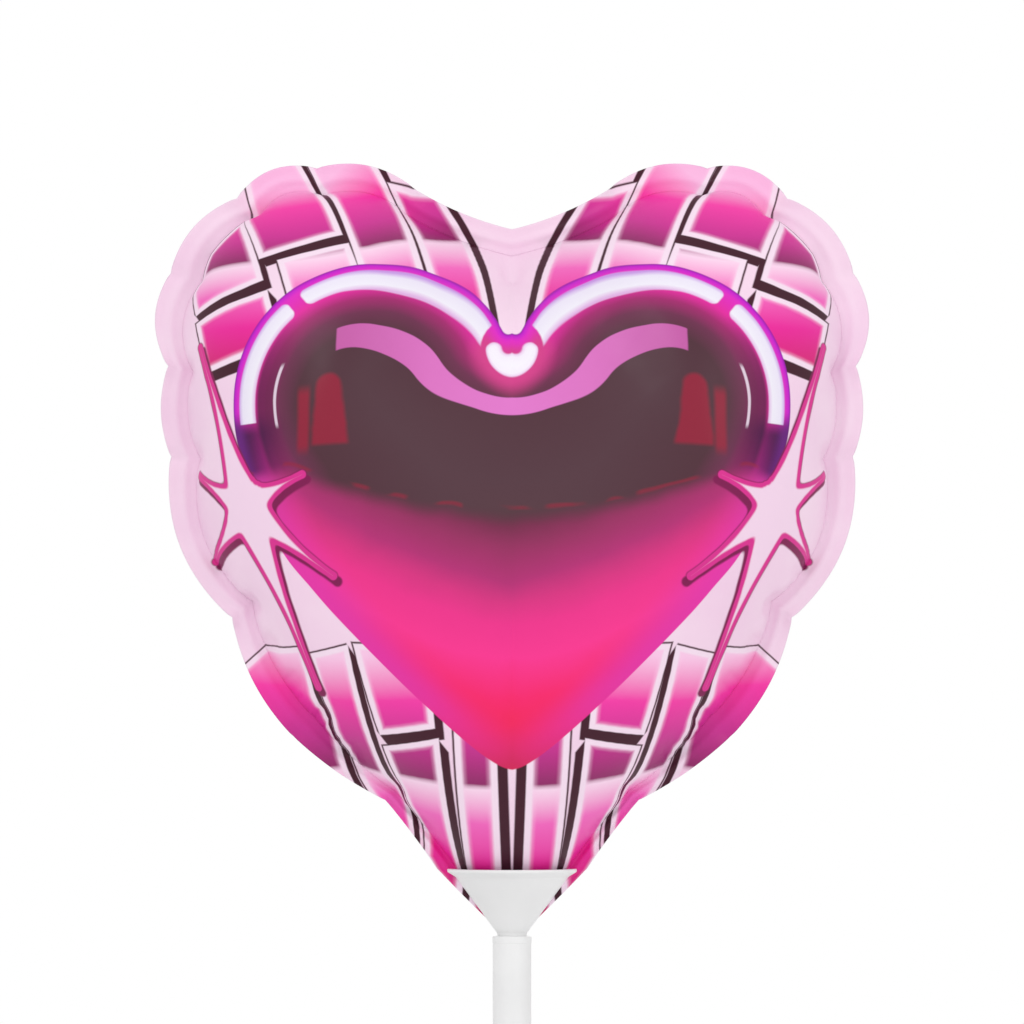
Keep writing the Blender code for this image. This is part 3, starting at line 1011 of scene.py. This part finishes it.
def build_balloon():
    seam, edge, flat_seam, t = seam_curves()
    half, flat = inflate(seam, flat_seam, t)
    printed = film_material("printed_film_look", 0.12)
    pale = film_material("pale_film_look", 0.2)
    pieces = (
        (panel("front_film", half, flat, 1), printed, "printed_film", ["front_panel"]),
        (panel("back_film", half, flat, -1), printed, "printed_film", ["back_panel"]),
        (flange(seam, edge, flat_seam, t), pale, "pale_film", ["seam_flange"]),
        (tail(), pale, "pale_film", []),
    )
    for piece, material, slot, nodes in pieces:
        piece.data.materials.append(material)
        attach(piece, "balloon")
        if nodes:
            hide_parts(*nodes)
    clear = clear_film_material()
    for name in ("valve_film_front", "valve_film_back"):
        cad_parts[name].data.materials.clear()
        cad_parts[name].data.materials.append(clear)


def build_holder():
    cup_look = plastic_material("cup_plastic_look", "EBEBEB", "E5E5E5")
    stick_look = plastic_material("stick_plastic_look", "EBEBEB", "E4E4E4")
    for piece, look, body in ((cup(), cup_look, "cup"), (stick(), stick_look, "stick")):
        piece.data.materials.clear()
        piece.data.materials.append(look)
        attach(piece, body)
        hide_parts(body)


# ---------------------------------------------------------------- the studio


def build_floor():
    bpy.ops.mesh.primitive_plane_add(size=4.0, location=(0, 0, -0.0005))
    floor = bpy.context.object
    floor.name = "floor"
    material, tree, shader = new_material("floor_look")
    place = tree.nodes.new("ShaderNodeTexCoord").outputs["Object"]
    grain = noise_field(tree, place, 3, 2.0)
    pale = grain.ramp([(0.3, "E9E9EA"), (0.7, "EEEEEE")])
    tree.links.new(pale.socket, shader.inputs["Base Color"])
    shader.inputs["Roughness"].default_value = 0.8
    floor.data.materials.append(material)


def add_light(name, place, target, size, power):
    light = bpy.data.lights.new(name, "AREA")
    light.shape = "DISK"
    light.size = size
    light.energy = power
    lamp = bpy.data.objects.new(name, light)
    lamp.location = place
    lamp.rotation_euler = (Vector(target) - Vector(place)).to_track_quat("-Z", "Y").to_euler()
    bpy.context.scene.collection.objects.link(lamp)


def build_world():
    """White behind everything, with a softer light from all round."""
    world = bpy.data.worlds.new("studio")
    world.use_nodes = True
    tree = world.node_tree
    seen = tree.nodes["Background"]
    seen.inputs["Color"].default_value = (1, 1, 1, 1)
    lighting = tree.nodes.new("ShaderNodeBackground")
    lighting.inputs["Color"].default_value = (1, 1, 1, 1)
    lighting.inputs["Strength"].default_value = AMBIENT
    path = tree.nodes.new("ShaderNodeLightPath")
    mix = tree.nodes.new("ShaderNodeMixShader")
    tree.links.new(path.outputs["Is Camera Ray"], mix.inputs[0])
    tree.links.new(lighting.outputs[0], mix.inputs[1])
    tree.links.new(seen.outputs[0], mix.inputs[2])
    tree.links.new(mix.outputs[0], tree.nodes["World Output"].inputs["Surface"])
    bpy.context.scene.world = world
    bpy.context.scene.view_settings.view_transform = "Standard"


def build_camera():
    camera = bpy.data.cameras.new("camera")
    camera.sensor_width = SENSOR
    camera.lens = SENSOR * CAMERA_DISTANCE / FRAME_SIDE
    camera.clip_end = 20.0
    view = bpy.data.objects.new("camera", camera)
    view.location = (0, -CAMERA_DISTANCE, CAMERA_HEIGHT)
    view.rotation_euler = (math.pi / 2, 0, 0)
    bpy.context.scene.collection.objects.link(view)
    bpy.context.scene.camera = view


build_balloon()
build_holder()
build_floor()
build_world()
build_camera()
middle = (0, 0, POINT_Z + 75 * MM)
add_light("key", (-0.7, -1.3, 1.2), middle, 0.9, 5.5)
add_light("fill", (1.0, -1.1, 0.5), middle, 1.0, 3.0)
add_light("rim", (0.2, 1.3, 1.0), middle, 0.8, 5.0)
